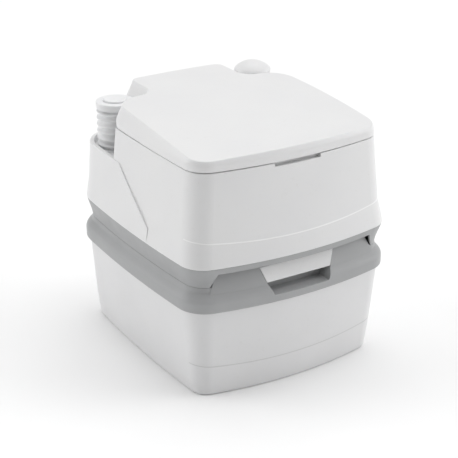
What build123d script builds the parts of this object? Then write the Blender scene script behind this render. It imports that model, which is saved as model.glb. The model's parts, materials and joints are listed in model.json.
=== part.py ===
from build123d import *
import os
from math import cos, pi, sin
from typing import NamedTuple

# Portable toilet in two tanks: a waste tank below and a flush tank with bowl, seat and lid above.
# Millimetres. +Z is up, the front faces -Y, and the origin is the centre of the base at floor level.

# ---------------------------------------------------------------- overall sizes
WIDTH = 383.0
DEPTH = 427.0
WALL = 3.0
GAP = 0.4                     # air between pieces that move past each other
SHAFT_GAP = 0.06              # radial play of a shaft in its hole

# ---------------------------------------------------------------- heights of the main levels
TUB_HEIGHT = 152.0
TUB_CREASE_Z = 43.0
TUB_CREASE_BULGE = 1.0
TUB_FOOT_RADIUS = 6.0
EDGE_RADIUS = 2.2
FLANGE_EDGE_HEIGHT = 16.0
FLANGE_CHAMFER_HEIGHT = 5.0
DECK_HOLLOW_SHARE = 0.86      # how much of the way in the hollow has gone at its knee
DECK_HOLLOW_RISE = 9.0        # height of that knee above the chamfer
SKIRT_HOLLOW_RISE = 11.0      # height of the knee above the parting line
SKIRT_HOLLOW_SHARE = 0.22
WAIST_Z = 190.0               # parting line between the two tanks
LIP_Z = 223.4
LIP_EDGE_HEIGHT = 3.0
CREASE_Z = 262.0
TANK_TOP_Z = 368.7
SHELF_RIM_Z = 319.0
SHELF_FLOOR_Z = 308.0

# ---------------------------------------------------------------- how far each level stands inside the flange
BASE_SIDE_INSET = 22.3
BASE_END_INSET = 20.6
TUB_TOP_INSET = 6.0
CHAMFER_INSET = 2.0
WAIST_INSET = 11.0
LIP_INSET = 2.3
CREASE_SIDE_INSET = 9.5
CREASE_END_INSET = 12.0
TOP_SIDE_INSET = 21.3
TOP_END_INSET = 20.6
SHELF_SIDE_INSET = 14.0
SHELF_END_INSET = 9.5
SHELF_RIM_WIDTH = 6.0
SHOULDER_FOOT_Y = -60.0       # where the slanted shoulder starts, seen from the side
SHOULDER_FOOT_DROP = 14.0     # and how far below the crease
SHOULDER_HEAD_INSET = 18.0    # how far in front of the shelf it reaches the rim
REAR_BULGE = 3.0              # how much further out the rear of the tank stands at the crease

# ---------------------------------------------------------------- waste valve
VALVE_Y = -30.0               # centre of the bowl outlet and of the valve
OUTLET_RADIUS = 42.0
BLADE_THICKNESS = 3.0
BLADE_MARGIN = 8.0            # blade beyond the outlet on each side
VALVE_TRAVEL = 92.0
ROD_WIDTH = 14.0
DECK_TOP_Z = WAIST_Z - GAP
BLADE_TOP_Z = DECK_TOP_Z - WALL - GAP
BLADE_BOTTOM_Z = BLADE_TOP_Z - BLADE_THICKNESS
HOUSING_FLOOR = 3.0
HOUSING_MARGIN = 16.0

# ---------------------------------------------------------------- front block with the valve handle
BLOCK_TOP_Z = 210.0
BLOCK_TOP_HALF = 136.0
BLOCK_BOTTOM_HALF = 146.0
BLOCK_DEPTH = 46.0
BLOCK_TOP_INSET = 16.5
BLOCK_FOOT_INSET = 5.5
SKIRT_CUT_GAP = 3.0
HANDLE_TOP_Z = 207.0
HANDLE_BOTTOM_Z = 181.5
HANDLE_TOP_HALF = 67.0
HANDLE_BOTTOM_HALF = 57.5
HANDLE_DEPTH = 16.0
HANDLE_EDGE_RADIUS = 2.5
HANDLE_INSET = 11.0
RECESS_BOTTOM_Z = 164.0
RECESS_BOTTOM_HALF = 50.0
RECESS_DEPTH = 30.0
POCKET_GAP = 0.6

# ---------------------------------------------------------------- pour spout in the rear pocket
SPOUT_X = 95.0
SPOUT_Y_INSET = 36.5
SPOUT_RADIUS = 20.0
SPOUT_BORE = 17.0
SPOUT_LENGTH = 118.0
SPOUT_Z = 185.0
SPOUT_CAP_RADIUS = 24.0
SPOUT_CAP_LENGTH = 26.0
SPOUT_CAP_ROOM = 32.0         # room to draw the cap off inside the pocket
SPOUT_SOCKET_HEIGHT = 6.0
POCKET_CLEAR = 4.0
POCKET_TOP_Z = 213.0

# ---------------------------------------------------------------- vent button on the waste tank
VENT_X = -140.0
VENT_Y = 120.0
VENT_RADIUS = 12.0
VENT_HEIGHT = 12.0
VENT_TRAVEL = 4.0

# ---------------------------------------------------------------- bowl
BOWL_Y = -45.0
BOWL_HALF_WIDTH = 108.0
BOWL_HALF_LENGTH = 128.0
BOWL_SHOULDER_DROP = 62.0
BOWL_SHOULDER_SHARE = 0.88
BOWL_FLANGE = 9.0
BOWL_FLANGE_THICKNESS = 2.4
TOP_RECESS_DEPTH = 2.8
TOP_RIM_WIDTH = 9.0
OUTLET_END_GAP = 6.5
NOZZLE_RADIUS = 7.0
NOZZLE_HALF_WIDTH = 14.0
NOZZLE_HEIGHT = 2.2
NOZZLE_DROP = 14.0

# ---------------------------------------------------------------- hinge of the seat and the lid
HINGE_Y_INSET = 41.5
HINGE_Z = 380.0
HINGE_PIN_RADIUS = 4.0
HINGE_KNUCKLE_RADIUS = 8.0
COLUMN_HALF_WIDTH = 78.0
COLUMN_REAR_INSET = 66.0
COLUMN_RADIUS = 16.0
BLOCK_REAR_Y = 68.0
BRACKET_X = 52.0
BRACKET_WIDTH = 12.0
SEAT_LUG_X = 34.0
SEAT_LUG_WIDTH = 14.0
LID_LUG_X = 70.0
LID_LUG_WIDTH = 8.0

# ---------------------------------------------------------------- lid and seat
LID_GAP = 1.5
LID_EDGE_HEIGHT = 10.5
LID_BEVEL_HEIGHT = 31.5
LID_BEVEL_INSET = 13.5
LID_EDGE_RADIUS = 3.0
LID_EDGE_STEPS = 4
LID_WALL = 2.8
LID_DOME_RADIUS = 2600.0
LID_DOME_Y = 130.0
LID_TOP_Z = 408.7
LID_REAR_Y = 105.0
LID_REAR_RADIUS = 50.0
NECK_HALF_WIDTH = 97.0
NECK_REAR_INSET = 26.0
NECK_CORNER_RADIUS = 24.0
NECK_FILLET = 16.0
SEAT_THICKNESS = 11.0
SEAT_MARGIN = 4.0
SEAT_REST_GAP = 2.8
SEAT_HOLE_HALF_WIDTH = 96.0
SEAT_HOLE_HALF_LENGTH = 116.0
SEAT_BUMPER_X = 142.0
SEAT_BUMPER_FRONT_Y = -120.0
SEAT_BUMPER_REAR_Y = 30.0
FINGER_CATCH_HALF = 41.0
FINGER_CATCH_HEIGHT = 5.5
FINGER_CATCH_DEPTH = 7.5

# ---------------------------------------------------------------- bellows pump and filler
PUMP_X_INSET = 59.5
PUMP_Y_INSET = 71.5
PUMP_RADIUS = 31.5
PUMP_BASE_HEIGHT = 3.0
BELLOWS_TOP_Z = 377.0
BELLOWS_RIBS = 6
BELLOWS_WAIST = 28.0
BELLOWS_CREST = 0.1           # half width of a crest, as a share of the pitch
BELLOWS_WALL = 1.6
PUMP_COLLAR_TOP_Z = 388.0
PUMP_BUTTON_RADIUS = 19.0
PUMP_BUTTON_TOP_Z = 391.0
PUMP_TRAVEL = 30.0
INLET_TUBE_RADIUS = 5.0
PUMP_PLUG_RADIUS = 12.5
PIPE_RADIUS = 4.0
FILLER_X_INSET = 59.5
FILLER_Y_INSET = 71.5
FILL_NECK_RADIUS = 26.0
FILL_NECK_TOP_Z = 396.0
FILL_CAP_RADIUS = 31.5
FILL_CAP_TOP_Z = 414.0
FILL_CAP_HEIGHT = 36.0
FILL_CAP_WALL = 2.6
FILL_CAP_DOME_HEIGHT = 14.0
CAP_GRIPS = 24
FILL_CAP_FLUTES = 10
FLUTE_RADIUS = 7.0
FLUTE_DEPTH = 2.0
SEAL_THICKNESS = 2.0

# ---------------------------------------------------------------- tank latch
LATCH_X = -112.0
LATCH_WIDTH = 26.0
LATCH_PIN_Z = 211.5
LATCH_PIN_INSET = 4.2
LATCH_BOTTOM_Z = 175.5
LATCH_THICKNESS = 3.0
LATCH_PIN_RADIUS = 1.5
LATCH_KNUCKLE_RADIUS = 3.4
LATCH_LUG_WIDTH = 3.0
LATCH_LUG_DEPTH = 8.0
LATCH_NOSE = 1.5
LATCH_LEDGE_Z = 182.5

# ---------------------------------------------------------------- fasteners
SCREW_RADIUS = 2.0
SCREW_HEAD_RADIUS = 4.0
SCREW_HEAD_HEIGHT = 2.4
SKIRT_SCREW_INSET = 22.0
SKIRT_SCREW_Y = 95.0
SKIRT_TAB = 8.0
SKIRT_TAB_THICKNESS = 4.0
BUMPER_RADIUS = 6.0

# ---------------------------------------------------------------- places worked out from the sizes above
HALF_WIDTH = WIDTH / 2
HALF_DEPTH = DEPTH / 2
FLANGE_TOP_Z = TUB_HEIGHT + FLANGE_EDGE_HEIGHT
CHAMFER_TOP_Z = FLANGE_TOP_Z + FLANGE_CHAMFER_HEIGHT
HINGE_Y = HALF_DEPTH - HINGE_Y_INSET
COLUMN_REAR_Y = HALF_DEPTH - COLUMN_REAR_INSET
BRACKET_SCREW_Y = COLUMN_REAR_Y - 24.0
NOZZLE_Y = BOWL_Y + BOWL_HALF_LENGTH + BOWL_FLANGE + NOZZLE_RADIUS + 4.0
NECK_REAR_Y = HALF_DEPTH - NECK_REAR_INSET
PUMP_X = -(HALF_WIDTH - PUMP_X_INSET)
PUMP_Y = HALF_DEPTH - PUMP_Y_INSET
FILLER_X = HALF_WIDTH - FILLER_X_INSET
FILLER_Y = HALF_DEPTH - FILLER_Y_INSET
SPOUT_Y = HALF_DEPTH - SPOUT_Y_INSET
LATCH_PIN_Y = HALF_DEPTH - LATCH_PIN_INSET
LID_BOTTOM_Z = TANK_TOP_Z + LID_GAP
LID_BEVEL_Z = LID_BOTTOM_Z + LID_EDGE_HEIGHT
SEAT_BOTTOM_Z = TANK_TOP_Z + SEAT_REST_GAP
SEAT_TOP_Z = SEAT_BOTTOM_Z + SEAT_THICKNESS
TOP_PLATE_Z = TANK_TOP_Z - TOP_RECESS_DEPTH
BLADE_HALF = OUTLET_RADIUS + BLADE_MARGIN
BLADE_FRONT_Y = VALVE_Y - BLADE_HALF
HANDLE_FRONT_Y = -(HALF_DEPTH - HANDLE_INSET)
HANDLE_BACK_Y = HANDLE_FRONT_Y + HANDLE_DEPTH
POCKET_BACK_Y = HANDLE_BACK_Y + POCKET_GAP
POCKET_LEFT = SPOUT_X - SPOUT_LENGTH - SPOUT_CAP_LENGTH - SPOUT_CAP_ROOM
POCKET_RIGHT = SPOUT_X + SPOUT_RADIUS + 2 * POCKET_CLEAR
POCKET_FLOOR_Z = SPOUT_Z - SPOUT_CAP_RADIUS - POCKET_CLEAR
BELLOWS_BOTTOM_Z = SHELF_FLOOR_Z + PUMP_BASE_HEIGHT
BIG = 1000.0                  # larger than the whole object, for cutting tools


class Outline(NamedTuple):
    """A bowed rectangle seen from above, with rounded corners."""
    half_width: float
    front: float
    rear: float
    front_radius: float
    rear_radius: float
    front_bow: float
    side_bow: float
    rear_bow: float


def inset_outline(side, end, front_radius, rear_radius, front_bow=24.0, side_bow=9.0, rear_bow=8.0):
    """The outline that stands inside the flange by `side` at the sides and `end` at front and rear."""
    return Outline(HALF_WIDTH - side, HALF_DEPTH - end, HALF_DEPTH - end,
                   front_radius, rear_radius, front_bow, side_bow, rear_bow)


def shrink(outline, amount):
    return outline._replace(half_width=outline.half_width - amount,
                            front=outline.front - amount,
                            rear=outline.rear - amount,
                            front_radius=outline.front_radius - amount,
                            rear_radius=outline.rear_radius - amount)


def outline_face(outline, z):
    """The outline as a flat face at height z."""
    corner_x = outline.half_width - outline.side_bow
    front_y = -(outline.front - outline.front_bow)
    rear_y = outline.rear - outline.rear_bow
    front_left = (-corner_x, front_y)
    front_right = (corner_x, front_y)
    rear_right = (corner_x, rear_y)
    rear_left = (-corner_x, rear_y)
    middle_y = (front_y + rear_y) / 2
    sides = [
        ThreePointArc(front_left, (0, -outline.front), front_right),
        ThreePointArc(front_right, (outline.half_width, middle_y), rear_right),
        ThreePointArc(rear_right, (0, outline.rear), rear_left),
        ThreePointArc(rear_left, (-outline.half_width, middle_y), front_left),
    ]
    face = make_face(Curve() + sides)
    front_corners = [v for v in face.vertices() if v.Y < middle_y]
    face = fillet(front_corners, outline.front_radius)
    rear_corners = [v for v in face.vertices() if abs(v.X) > corner_x - 1 and v.Y > rear_y - 1]
    face = fillet(rear_corners, outline.rear_radius)
    return Pos(0, 0, z) * face


def mix(first, second, share):
    """The level between two (outline, z) levels; share 0 is the first and 1 the second."""
    outline = Outline(*(a + (b - a) * share for a, b in zip(first[0], second[0])))
    return outline, first[1] + (second[1] - first[1]) * share


def soften(levels, radius, steps=4):
    """The same levels with the corners of the profile rounded over about radius."""
    smooth = [levels[0]]
    for before, corner, after in zip(levels, levels[1:], levels[2:]):
        reach_before = min(0.45, radius / level_distance(before, corner))
        reach_after = min(0.45, radius / level_distance(corner, after))
        start = mix(corner, before, reach_before)
        end = mix(corner, after, reach_after)
        for step in range(steps + 1):
            share = step / steps
            smooth.append(mix(mix(start, corner, share), mix(corner, end, share), share))
    smooth.append(levels[-1])
    return smooth


def level_distance(first, second):
    """How far apart two levels are along the profile."""
    across = max(abs(first[0].half_width - second[0].half_width), abs(first[0].front - second[0].front))
    return max(0.001, (across ** 2 + (first[1] - second[1]) ** 2) ** 0.5)


def stack(levels):
    """A solid through outlines given as (outline, z), straight between neighbours."""
    faces = [outline_face(outline, z) for outline, z in levels]
    return loft(faces, ruled=True)


def box_between(x0, x1, y0, y1, z0, z1):
    return Pos((x0 + x1) / 2, (y0 + y1) / 2, (z0 + z1) / 2) * Box(x1 - x0, y1 - y0, z1 - z0)


def upright(radius, x, y, z0, z1):
    """An upright cylinder from z0 to z1."""
    return Pos(x, y, (z0 + z1) / 2) * Cylinder(radius, z1 - z0)


def tube(radius, bore, x, y, z0, z1):
    return upright(radius, x, y, z0, z1) - upright(bore, x, y, z0 - 1, z1 + 1)


def crossbar(radius, y, z, x0, x1):
    """A cylinder along X."""
    return Pos((x0 + x1) / 2, y, z) * Rot(0, 90, 0) * Cylinder(radius, x1 - x0)


def trapezoid(top_half, bottom_half, z_top, z_bottom, y_front, y_back):
    """A block whose outline seen from the front is a trapezoid."""
    points = [(-bottom_half, z_bottom), (bottom_half, z_bottom), (top_half, z_top), (-top_half, z_top)]
    face = Plane.XZ * make_face(Polyline(*points, close=True))
    block = extrude(face, amount=y_back - y_front, dir=(0, 1, 0))
    return Pos(0, y_front, 0) * block


def screw(x, y, head_z, length, point_down=True):
    """One screw; the flat of its head is at head_z and its shank points down or up."""
    way = -1 if point_down else 1
    head = upright(SCREW_HEAD_RADIUS, x, y, *sorted((head_z, head_z - way * SCREW_HEAD_HEIGHT)))
    shank = upright(SCREW_RADIUS, x, y, *sorted((head_z, head_z + way * length)))
    slot = Pos(x, y, head_z - way * SCREW_HEAD_HEIGHT) * Box(SCREW_HEAD_RADIUS * 1.4, 1.0, 1.6)
    cross = Pos(x, y, head_z - way * SCREW_HEAD_HEIGHT) * Box(1.0, SCREW_HEAD_RADIUS * 1.4, 1.6)
    return head + shank - slot - cross


def spring(x, y, radius, wire, z0, z1, turns):
    """A coil spring as a stack of rings joined by a thin seam."""
    pitch = (z1 - z0 - 2 * wire) / turns
    path = Helix(pitch, pitch * turns, radius)
    section = Plane(path @ 0, z_dir=path % 0) * Circle(wire)
    coil = sweep(section, path=path)
    return Pos(x, y, z0 + wire) * coil


def group(solids):
    """Separate solids that share one node."""
    return Compound(children=[s.solid() if isinstance(s, Part) and len(s.solids()) == 1 else s for s in solids])


# ---------------------------------------------------------------- outlines of the two tanks
BASE = inset_outline(BASE_SIDE_INSET, BASE_END_INSET, 28.0, 35.0, front_bow=21.0, side_bow=7.7)
TUB_TOP = inset_outline(TUB_TOP_INSET, TUB_TOP_INSET, 43.0, 65.0)
FLANGE = inset_outline(0.0, 0.0, 49.0, 71.0, front_bow=25.0)
CHAMFER = inset_outline(CHAMFER_INSET, CHAMFER_INSET, 47.0, 69.0, front_bow=25.0)
WAIST = inset_outline(WAIST_INSET, WAIST_INSET, 38.0, 62.0)
LIP = inset_outline(LIP_INSET, LIP_INSET, 42.0, 71.0)
CREASE = inset_outline(CREASE_SIDE_INSET, CREASE_END_INSET, 40.0, 66.0, front_bow=21.5, side_bow=7.0)
TOP = inset_outline(TOP_SIDE_INSET, TOP_END_INSET, 38.0, 62.0, front_bow=19.0, side_bow=4.0)
BLOCK_FOOT = inset_outline(BLOCK_FOOT_INSET, BLOCK_FOOT_INSET, 44.0, 60.0, front_bow=25.0)
BLOCK_HEAD = inset_outline(BLOCK_TOP_INSET, BLOCK_TOP_INSET, 40.0, 60.0, front_bow=24.0)
SHELF = inset_outline(SHELF_SIDE_INSET, SHELF_END_INSET, 40.0, 60.0, front_bow=21.0, side_bow=6.0)


# ================================================================ waste tank
def waste_tub():
    knee = (shrink(mix((BASE, 0), (TUB_TOP, TUB_HEIGHT), TUB_CREASE_Z / TUB_HEIGHT)[0], -TUB_CREASE_BULGE),
            TUB_CREASE_Z)
    foot = shrink(BASE, TUB_FOOT_RADIUS)
    levels = [(foot, 0), (BASE, 0), knee, (TUB_TOP, TUB_HEIGHT)]
    outer = stack(soften(levels, TUB_FOOT_RADIUS))
    inner = stack([(shrink(BASE, WALL), WALL), (shrink(knee[0], WALL), TUB_CREASE_Z),
                   (shrink(TUB_TOP, WALL), TUB_HEIGHT + 1)])
    return outer - inner


def front_block(inset, z_bottom):
    """The raised block at the front of the deck, smaller by inset all round."""
    foot = shrink(BLOCK_FOOT, inset)
    body = stack([(foot, z_bottom), (foot, CHAMFER_TOP_Z), (shrink(BLOCK_HEAD, inset), BLOCK_TOP_Z - inset)])
    slope = (BLOCK_BOTTOM_HALF - BLOCK_TOP_HALF) / (BLOCK_TOP_Z - WAIST_Z)
    bottom_half = BLOCK_TOP_HALF + slope * (BLOCK_TOP_Z - z_bottom) - inset
    front_view = trapezoid(BLOCK_TOP_HALF - inset, bottom_half, BLOCK_TOP_Z, z_bottom,
                           -HALF_DEPTH - 1, -(HALF_DEPTH - BLOCK_DEPTH) - inset)
    return body & front_view


def deck_levels(inset, z_low, z_high):
    """The flange, its chamfer and the hollow that runs up to the parting line."""
    hollow = (shrink(mix((CHAMFER, 0), (WAIST, 0), DECK_HOLLOW_SHARE)[0], inset), CHAMFER_TOP_Z + DECK_HOLLOW_RISE)
    return [(shrink(FLANGE, inset), z_low), (shrink(FLANGE, inset), FLANGE_TOP_Z - inset / 2),
            (shrink(CHAMFER, inset), CHAMFER_TOP_Z - inset / 2), hollow, (shrink(WAIST, inset), z_high)]


def spout_pocket_box(grow):
    """The rear pocket that the pour spout folds into."""
    front = SPOUT_Y - SPOUT_CAP_RADIUS - POCKET_CLEAR - grow
    return box_between(POCKET_LEFT - grow, POCKET_RIGHT + grow, front, HALF_DEPTH + 1,
                       POCKET_FLOOR_Z - grow, POCKET_TOP_Z)


def handle_pocket(grow):
    """The room that the valve handle slides in, with the finger recess under it."""
    above = trapezoid(HANDLE_TOP_HALF + POCKET_GAP + grow, HANDLE_BOTTOM_HALF + POCKET_GAP + grow,
                      HANDLE_TOP_Z + POCKET_GAP + grow, HANDLE_BOTTOM_Z,
                      -HALF_DEPTH - 1, POCKET_BACK_Y + grow)
    below = trapezoid(HANDLE_BOTTOM_HALF + POCKET_GAP + grow, RECESS_BOTTOM_HALF + grow,
                      HANDLE_BOTTOM_Z, RECESS_BOTTOM_Z - grow,
                      -HALF_DEPTH - 1, -HALF_DEPTH + RECESS_DEPTH + grow)
    return above + below


def rod_slot():
    """The way of the rod from the handle pocket to the valve housing."""
    half = ROD_WIDTH / 2 + GAP
    return box_between(-half, half, POCKET_BACK_Y - 1, BLADE_FRONT_Y, BLADE_BOTTOM_Z - GAP, BLADE_TOP_Z + GAP)


def waste_deck():
    lower_edge = (shrink(FLANGE, EDGE_RADIUS), TUB_HEIGHT)
    outer = stack(soften([lower_edge] + deck_levels(0, TUB_HEIGHT, DECK_TOP_Z), EDGE_RADIUS))
    outer += front_block(0, CHAMFER_TOP_Z - 4)
    inner = stack(deck_levels(WALL, TUB_HEIGHT - 1, DECK_TOP_Z - WALL))
    inner += front_block(WALL, CHAMFER_TOP_Z - 6) & box_between(-BIG, BIG, -BIG, BIG, 0, BLOCK_TOP_Z)
    outer += latch_ledge()
    solid_pockets = (handle_pocket(WALL) + spout_pocket_box(WALL)) & outer
    deck = outer - inner + solid_pockets
    deck -= handle_pocket(0)
    deck -= spout_pocket_box(0)
    deck -= rod_slot()
    deck -= upright(OUTLET_RADIUS + SEAL_THICKNESS, 0, VALVE_Y, DECK_TOP_Z - 2 * WALL, DECK_TOP_Z + 1)
    deck -= upright(SPOUT_BORE, SPOUT_X, SPOUT_Y, POCKET_FLOOR_Z - 2 * WALL, POCKET_FLOOR_Z + 1)
    deck -= upright(VENT_RADIUS - 4, VENT_X, VENT_Y, DECK_TOP_Z - 2 * WALL, DECK_TOP_Z + 1)
    return deck


def valve_housing():
    half = BLADE_HALF + HOUSING_MARGIN
    front = BLADE_FRONT_Y - VALVE_TRAVEL / 2
    rear = VALVE_Y + half
    plate = box_between(-half, half, front, rear, BLADE_BOTTOM_Z - GAP - HOUSING_FLOOR, DECK_TOP_Z - WALL)
    channel = box_between(-BLADE_HALF - GAP, BLADE_HALF + GAP, front - 1, VALVE_Y + BLADE_HALF + GAP,
                          BLADE_BOTTOM_Z - GAP, DECK_TOP_Z)
    mouth = upright(OUTLET_RADIUS, 0, VALVE_Y, 0, DECK_TOP_Z)
    return plate - channel - mouth


def valve_seal():
    return tube(OUTLET_RADIUS + SEAL_THICKNESS, OUTLET_RADIUS, 0, VALVE_Y, BLADE_TOP_Z + GAP, DECK_TOP_Z + 1.5)


def housing_screw_places():
    half = BLADE_HALF + HOUSING_MARGIN / 2
    return [(x, y) for x in (-half, half) for y in (BLADE_FRONT_Y, VALVE_Y, VALVE_Y + BLADE_HALF)]


def valve_housing_screws():
    head_z = BLADE_BOTTOM_Z - GAP - HOUSING_FLOOR
    return group([screw(x, y, head_z, DECK_TOP_Z - WALL / 3 - head_z, point_down=False)
                  for x, y in housing_screw_places()])


def drill_screws(part, places, radius=SCREW_RADIUS):
    """Clears the way of upright screws through a part."""
    low = part.bounding_box().min.Z - 1
    for x, y in places:
        part -= upright(radius, x, y, low, DECK_TOP_Z - WALL / 3)
    return part


def valve_blade():
    plate = box_between(-BLADE_HALF, BLADE_HALF, BLADE_FRONT_Y, VALVE_Y, BLADE_BOTTOM_Z, BLADE_TOP_Z)
    return plate + upright(BLADE_HALF, 0, VALVE_Y, BLADE_BOTTOM_Z, BLADE_TOP_Z)


def valve_rod():
    half = ROD_WIDTH / 2
    return box_between(-half, half, HANDLE_BACK_Y, BLADE_FRONT_Y, BLADE_BOTTOM_Z, BLADE_TOP_Z)


def valve_handle():
    grip = trapezoid(HANDLE_TOP_HALF, HANDLE_BOTTOM_HALF, HANDLE_TOP_Z, HANDLE_BOTTOM_Z,
                     HANDLE_FRONT_Y, HANDLE_BACK_Y)
    slant = (BLOCK_TOP_INSET - BLOCK_FOOT_INSET) / (BLOCK_TOP_Z - CHAMFER_TOP_Z)
    lean = slant * (HANDLE_TOP_Z - HANDLE_BOTTOM_Z)
    wedge = Plane.YZ * make_face(Polyline((HANDLE_FRONT_Y - 1, HANDLE_BOTTOM_Z), (HANDLE_FRONT_Y, HANDLE_BOTTOM_Z),
                                          (HANDLE_FRONT_Y + lean, HANDLE_TOP_Z), (HANDLE_FRONT_Y - 1, HANDLE_TOP_Z),
                                          close=True))
    grip -= extrude(wedge, amount=HALF_WIDTH, both=True)
    grip = fillet(grip.edges().group_by(Axis.Y)[0], HANDLE_EDGE_RADIUS)
    hollow = trapezoid(HANDLE_TOP_HALF - WALL, HANDLE_BOTTOM_HALF - WALL, HANDLE_TOP_Z - WALL,
                       HANDLE_BOTTOM_Z - 1, HANDLE_FRONT_Y + WALL + lean, HANDLE_BACK_Y - WALL)
    return grip - hollow


# ---------------------------------------------------------------- pour spout
def spout_socket():
    return tube(SPOUT_RADIUS, SPOUT_BORE - 1, SPOUT_X, SPOUT_Y, POCKET_FLOOR_Z,
                POCKET_FLOOR_Z + SPOUT_SOCKET_HEIGHT)


def spout_washer():
    low = POCKET_FLOOR_Z + SPOUT_SOCKET_HEIGHT
    return tube(SPOUT_RADIUS, SPOUT_BORE - 1, SPOUT_X, SPOUT_Y, low, low + SEAL_THICKNESS)


def pour_spout():
    low = POCKET_FLOOR_Z + SPOUT_SOCKET_HEIGHT + SEAL_THICKNESS + GAP
    high = SPOUT_Z + SPOUT_RADIUS
    end_x = SPOUT_X - SPOUT_LENGTH
    body = upright(SPOUT_RADIUS, SPOUT_X, SPOUT_Y, low, high)
    body += crossbar(SPOUT_RADIUS, SPOUT_Y, SPOUT_Z, end_x, SPOUT_X)
    body -= upright(SPOUT_BORE, SPOUT_X, SPOUT_Y, low - 1, SPOUT_Z)
    body -= crossbar(SPOUT_BORE, SPOUT_Y, SPOUT_Z, end_x - 1, SPOUT_X)
    body -= Pos(SPOUT_X, SPOUT_Y, SPOUT_Z) * Sphere(SPOUT_BORE)
    return body


def spout_cap_seal():
    end_x = SPOUT_X - SPOUT_LENGTH
    ring = crossbar(SPOUT_RADIUS, SPOUT_Y, SPOUT_Z, end_x - SEAL_THICKNESS, end_x)
    return ring - crossbar(SPOUT_BORE, SPOUT_Y, SPOUT_Z, end_x - SEAL_THICKNESS - 1, end_x + 1)


def spout_cap():
    seal_x = SPOUT_X - SPOUT_LENGTH - SEAL_THICKNESS - GAP
    end_x = seal_x - WALL
    cap = crossbar(SPOUT_CAP_RADIUS, SPOUT_Y, SPOUT_Z, end_x, end_x + SPOUT_CAP_LENGTH)
    cap = fillet(cap.edges().sort_by(Axis.X)[0], 2.0)
    cap -= crossbar(SPOUT_RADIUS + GAP, SPOUT_Y, SPOUT_Z, seal_x, end_x + SPOUT_CAP_LENGTH + 1)
    for i in range(CAP_GRIPS // 2):
        turn = 2 * pi * i / (CAP_GRIPS // 2)
        y = SPOUT_Y + (SPOUT_CAP_RADIUS + 1.2) * cos(turn)
        z = SPOUT_Z + (SPOUT_CAP_RADIUS + 1.2) * sin(turn)
        cap -= crossbar(2.2, y, z, end_x + 4, end_x + SPOUT_CAP_LENGTH - 3)
    return cap


# ---------------------------------------------------------------- vent button
def vent_guide():
    return tube(VENT_RADIUS, VENT_RADIUS - 5, VENT_X, VENT_Y, DECK_TOP_Z, DECK_TOP_Z + 3.0)


def vent_spring():
    low = DECK_TOP_Z + 3.0 + GAP / 2
    return spring(VENT_X, VENT_Y, VENT_RADIUS - 3, 0.5, low, DECK_TOP_Z + 3.0 + VENT_TRAVEL + GAP / 2, 3)


def vent_button():
    low = DECK_TOP_Z + 3.0 + VENT_TRAVEL + GAP
    top = DECK_TOP_Z + VENT_HEIGHT + VENT_TRAVEL
    head = upright(VENT_RADIUS - 1, VENT_X, VENT_Y, low, top)
    head = fillet(head.edges().sort_by(Axis.Z)[-1], 2.0)
    stem = upright(VENT_RADIUS - 5 - SHAFT_GAP, VENT_X, VENT_Y, DECK_TOP_Z - 14, low)
    return head + stem


# ================================================================ flush tank
def lip_levels(inset, z_low):
    """The rounded lip at the foot of the flush tank."""
    return [(shrink(LIP, inset), z_low), (shrink(LIP, inset), LIP_Z + LIP_EDGE_HEIGHT + inset)]


def block_levels(inset, z_low, z_high):
    """The part of the tank that holds the bowl, from the lip to the top."""
    return lip_levels(inset, z_low) + [(shrink(CREASE, inset), CREASE_Z), (shrink(TOP, inset), z_high)]


def rear_levels(inset, z_low, z_high):
    """The lower and wider part behind the slanted shoulder."""
    crease = CREASE._replace(half_width=CREASE.half_width + REAR_BULGE)
    return lip_levels(inset, z_low) + [(shrink(crease, inset), CREASE_Z), (shrink(SHELF, inset), z_high)]


def outer_form(levels, z_top):
    """A tank part with its lip, its crease and its top edge rounded."""
    foot = (shrink(levels[0][0], EDGE_RADIUS), levels[0][1])
    cap = (shrink(levels[-1][0], EDGE_RADIUS), z_top)
    return stack(soften([foot, *levels, cap], EDGE_RADIUS))


def bowl_block(inset, z_low, z_high):
    """The high part: the bowl surround, and the column that carries the hinge."""
    levels = block_levels(inset, z_low, z_high)
    body = outer_form(levels, z_high) if inset == 0 else stack(levels)
    rear_y = BLOCK_REAR_Y - inset
    column_half = COLUMN_HALF_WIDTH - inset
    column_rear = COLUMN_REAR_Y - inset
    shape = make_face(Polyline(
        (-BIG, -BIG), (BIG, -BIG), (BIG, rear_y), (column_half, rear_y), (column_half, column_rear),
        (-column_half, column_rear), (-column_half, rear_y), (-BIG, rear_y), close=True))
    inside_corners = [v for v in shape.vertices() if abs(v.X) < BIG / 2 and v.Y < column_rear - 1]
    shape = fillet(inside_corners, COLUMN_RADIUS + inset)
    keep = Pos(0, 0, z_low - 1) * extrude(shape, amount=z_high - z_low + 2)
    return body & keep


def rear_part(inset, z_low, z_high):
    """The low part behind a slanted shoulder, up to the rim of the shelf."""
    levels = rear_levels(inset, z_low, z_high)
    body = outer_form(levels, z_high) if inset == 0 else stack(levels)
    foot_y = SHOULDER_FOOT_Y + inset
    head_y = BLOCK_REAR_Y - SHOULDER_HEAD_INSET + inset
    shoulder = Plane.YZ * make_face(Polyline(
        (foot_y, z_low - 1), (foot_y, CREASE_Z - SHOULDER_FOOT_DROP), (head_y, SHELF_RIM_Z + 2),
        (BIG, SHELF_RIM_Z + 2), (BIG, z_low - 1), close=True))
    return body & extrude(shoulder, amount=HALF_WIDTH, both=True)


def shelf_recess(z_low):
    """The sunk floor behind the bowl where the pump and the filler stand."""
    inner = stack([(shrink(SHELF, SHELF_RIM_WIDTH + 1), z_low), (shrink(SHELF, SHELF_RIM_WIDTH), SHELF_RIM_Z + 1)])
    front = BLOCK_REAR_Y + 4
    inner &= box_between(-BIG, BIG, front, BIG, z_low - 1, SHELF_RIM_Z + 2)
    column = box_between(-COLUMN_HALF_WIDTH, COLUMN_HALF_WIDTH, 0, COLUMN_REAR_Y, 0, BIG)
    return inner - column


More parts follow.
